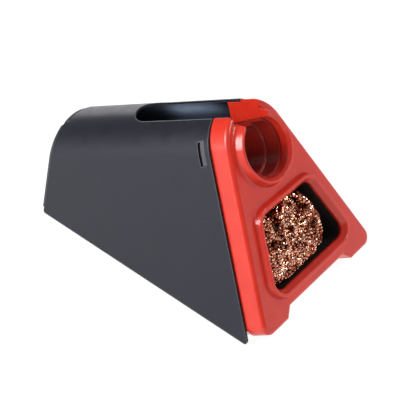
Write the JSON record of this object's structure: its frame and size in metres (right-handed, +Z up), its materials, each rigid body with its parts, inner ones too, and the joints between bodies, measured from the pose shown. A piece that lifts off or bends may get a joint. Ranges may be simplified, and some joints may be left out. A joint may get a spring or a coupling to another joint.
{
  "type": "soldering iron stand",
  "caption": "Wedge-shaped soldering iron stand with a keyhole collar for the iron, a long heat slot in a bent steel cover and a pocket of copper cleaning wool.",
  "frame": {"origin": "centre of the bounding box in plan, on the surface the stand rests on", "axes": "+Z up, -Y towards the front with the collar and the wool pocket, X across the width"},
  "size_m": [0.1016, 0.1596, 0.0931],
  "materials": {
    "powder_coat": "satin black powder coat on bent steel sheet",
    "red_plastic": "semi-gloss red moulded plastic",
    "black_plastic": "matte black moulded plastic",
    "clip_plastic": "fine-textured dark grey moulded plastic",
    "copper_wool": "bright copper-coloured curled ribbon",
    "zinc_plate": "zinc-plated steel plate",
    "screw_steel": "zinc-plated steel screws",
    "rubber": "matte black rubber"
  },
  "bodies": {
    "stand": {"cover": "powder_coat", "front_panel": "red_plastic", "iron_socket": "red_plastic", "wool_tray": "black_plastic", "rear_panel": "black_plastic", "base_plate": "zinc_plate", "base_screws": "screw_steel", "tray_screws": "screw_steel", "socket_screws": "screw_steel", "foot_front_left": "rubber", "foot_front_right": "rubber", "foot_rear_left": "rubber", "foot_rear_right": "rubber", "snap_clip_left": "clip_plastic", "snap_clip_right": "clip_plastic"},
    "wool": {"copper_wool": "copper_wool"}
  },
  "joints": [
    {"name": "wool_pull", "type": "slide", "parent": "stand", "child": "wool", "axis": [0, -0.866, 0.5], "range_m": [0, 0.045]}
  ]
}
